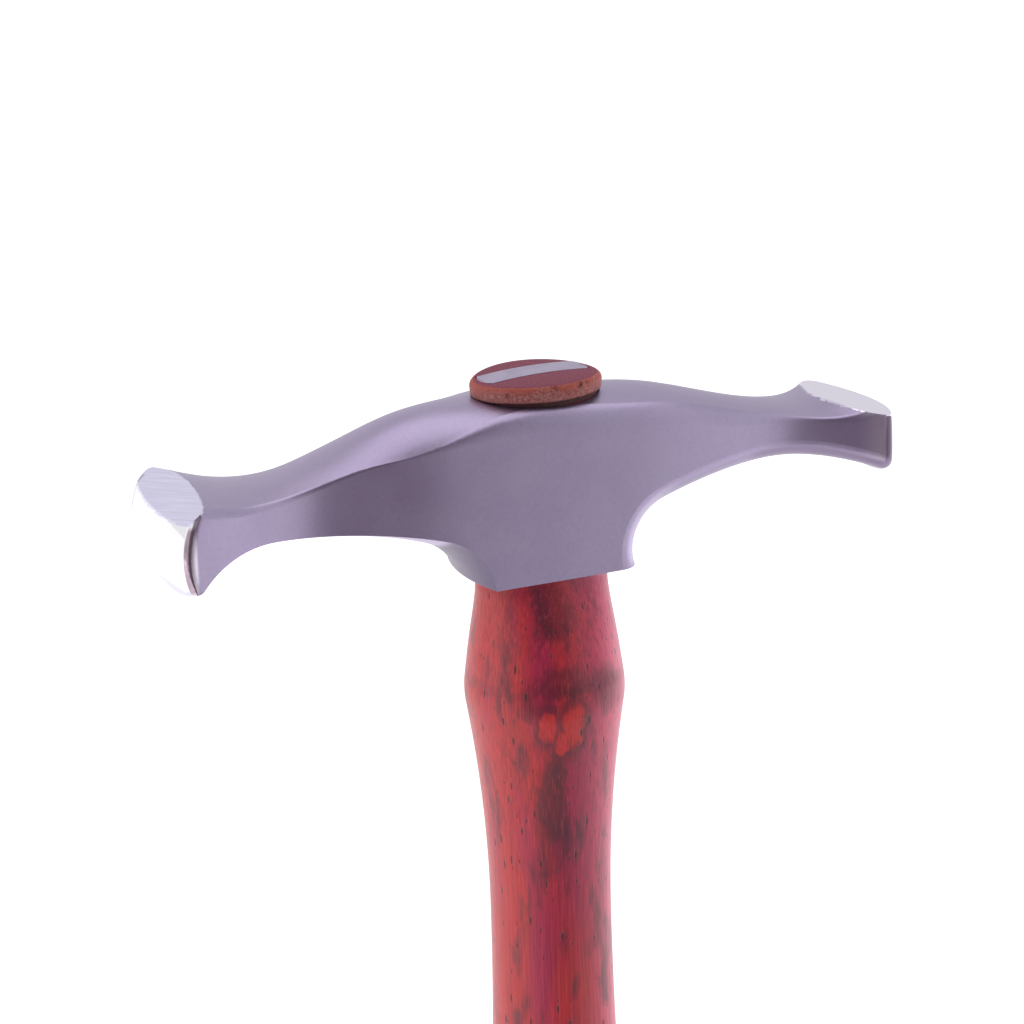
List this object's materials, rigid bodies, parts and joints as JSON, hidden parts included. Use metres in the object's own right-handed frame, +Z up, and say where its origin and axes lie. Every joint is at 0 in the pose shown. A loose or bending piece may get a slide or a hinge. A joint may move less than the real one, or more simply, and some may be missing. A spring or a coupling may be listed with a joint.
{
  "type": "raising hammer",
  "caption": "Raising hammer for shaping sheet metal: a steel head with broad, rounded cross faces on a turned hardwood handle, held by a steel wedge.",
  "frame": {"origin": "on the handle's axis, in the plane of the head's flat underside, at the middle of the eye's lower mouth", "axes": "+Z up the handle towards the head's top; +X along the head towards the shorter end; +Y across the head, so that the picture's near flank is at -Y"},
  "size_m": [0.115, 0.0296, 0.255],
  "materials": {
    "head_steel": "bead-blasted satin steel with polished faces and flats",
    "handle_wood": "oiled red hardwood, satin",
    "wedge_steel": "ground flush, satin"
  },
  "bodies": {
    "root": {"head": "head_steel", "handle": "handle_wood", "wedge": "wedge_steel"}
  },
  "joints": []
}
